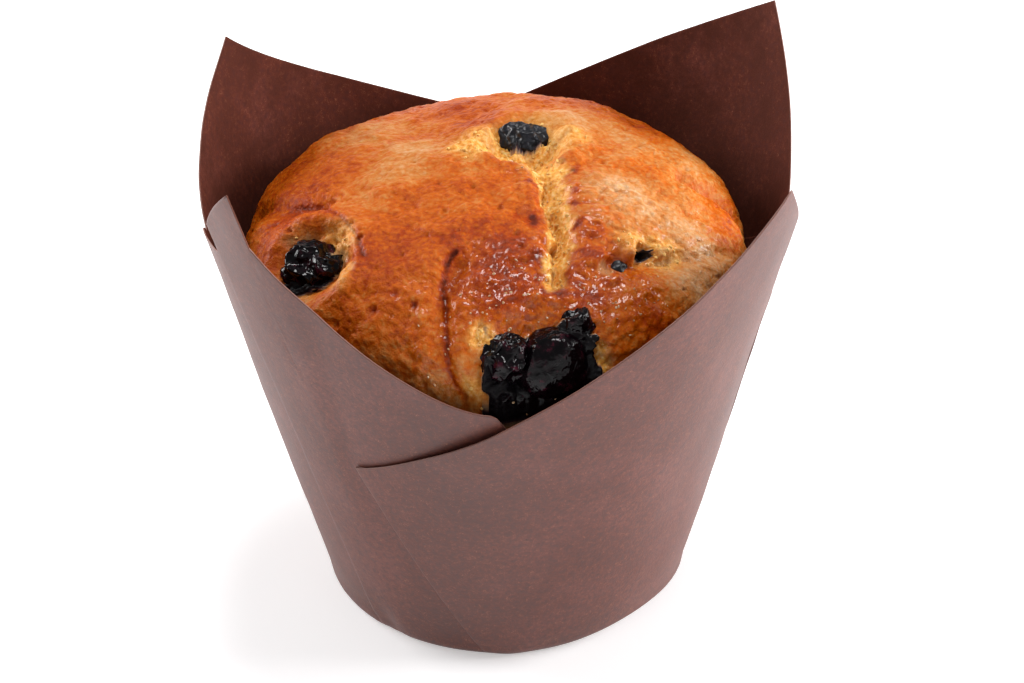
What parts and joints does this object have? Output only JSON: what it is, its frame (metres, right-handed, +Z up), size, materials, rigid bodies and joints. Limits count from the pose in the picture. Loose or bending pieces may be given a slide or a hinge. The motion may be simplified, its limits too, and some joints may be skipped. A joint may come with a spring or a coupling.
{
  "type": "fruit muffin in a paper case",
  "caption": "Domed fruit muffin with burst dark berries in its crust, baked in a brown tulip case of folded paper with pointed petals.",
  "frame": {"origin": "middle of the case's round base, on the surface it stands on", "axes": "+Z up along the axis of the case; -Y towards the front pleat, with the berries that show most; +X to its right"},
  "size_m": [0.0834, 0.079, 0.0815],
  "materials": {
    "case_paper": "matte brown greaseproof baking paper, fibrous",
    "crust": "browned cake crust, slightly glossy, with golden crumb in its cracks",
    "berry": "cooked dark berry skin, wet and glossy"
  },
  "bodies": {
    "root": {"paper_case": "case_paper", "sponge": "crust", "berry_front_large": "berry", "berry_front_left": "berry", "berry_front_low": "berry", "berry_front_upper": "berry", "berry_left": "berry", "berry_top": "berry", "berry_right": "berry"}
  },
  "joints": []
}
